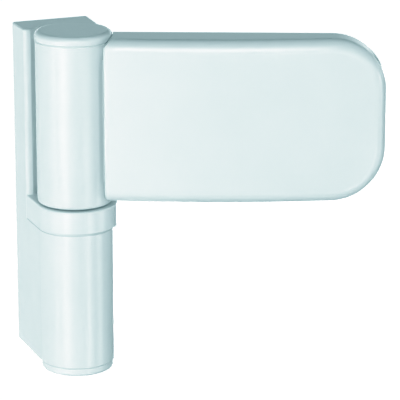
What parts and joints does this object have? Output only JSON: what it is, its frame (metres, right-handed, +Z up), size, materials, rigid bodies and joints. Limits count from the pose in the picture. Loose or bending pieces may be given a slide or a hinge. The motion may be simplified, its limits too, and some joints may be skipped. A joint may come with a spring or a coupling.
{
  "type": "surface-mounted door hinge",
  "caption": "White surface-mounted door hinge: tall frame part with a round knuckle and bearing collar, leaf knuckle above it on one pin, and a rounded flag cover over the door plate.",
  "frame": {"origin": "on the hinge line, level with the lower end of the frame part's extrusion", "axes": "+Z up along the hinge line; +X along the leaf as it stands, from the hinge line to the free end; +Y out of the leaf plate's rear face, into the door. The frame part's rear face stands turned 23 degrees about Z from the leaf, because the leaf stands 23 degrees open"},
  "size_m": [0.1082, 0.0371, 0.1014],
  "materials": {
    "white_coat": "white powder coat, fine satin",
    "white_plastic": "white moulded plastic, satin",
    "bush_polymer": "natural bearing polymer",
    "pin_steel": "ground steel",
    "zinc_steel": "bright zinc plated",
    "spring_steel": "rolled spring strip",
    "dark_steel": "black oxide",
    "brass_part": "machined",
    "bronze": "sintered bearing bronze"
  },
  "bodies": {
    "frame_part": {"frame_body": "white_coat", "bearing_collar": "white_plastic", "frame_bush": "bush_polymer", "pin_lock_screw": "dark_steel", "bottom_cap": "white_plastic"},
    "pin_lift": {"hinge_pin": "pin_steel"},
    "height_adjuster": {"height_screw": "zinc_steel"},
    "leaf": {"leaf_knuckle": "white_coat", "upper_leaf_bush": "bush_polymer", "lower_leaf_bush": "bush_polymer", "thrust_pad": "bronze", "thrust_plug": "zinc_steel", "top_cap": "white_plastic", "flag_cover": "white_plastic", "cover_clips": "spring_steel"},
    "door_plate": {"leaf_plate": "zinc_steel", "spindle_block": "brass_part", "block_rivets": "zinc_steel", "clamp_screws": "dark_steel", "clamp_washers": "zinc_steel"},
    "spindle": {"shift_spindle": "zinc_steel", "spindle_clip": "spring_steel"}
  },
  "joints": [
    {"name": "height_lift", "type": "slide", "parent": "frame_part", "child": "pin_lift", "axis": [0, 0, 1], "range_m": [0, 0.004]},
    {"name": "height_turn", "type": "hinge", "parent": "pin_lift", "child": "height_adjuster", "pos_m": [0, 0, 0.0096], "axis": [0, 0, 1], "range_deg": [0, 960]},
    {"name": "leaf_swing", "type": "hinge", "parent": "pin_lift", "child": "leaf", "pos_m": [0, 0, 0.072], "axis": [0, 0, -1], "range_deg": [-23, 157]},
    {"name": "leaf_shift", "type": "slide", "parent": "leaf", "child": "door_plate", "axis": [1, 0, 0], "range_m": [-0.0025, 0.0025]},
    {"name": "shift_turn", "type": "hinge", "parent": "door_plate", "child": "spindle", "pos_m": [0.0635, -0.0038, 0.07415], "axis": [1, 0, 0], "range_deg": [-1286, 1286]}
  ],
  "couplings": [
    {"joint": "height_turn", "follows": "height_lift", "rad_per_m": 4188.8},
    {"joint": "shift_turn", "follows": "leaf_shift", "rad_per_m": 8976}
  ]
}
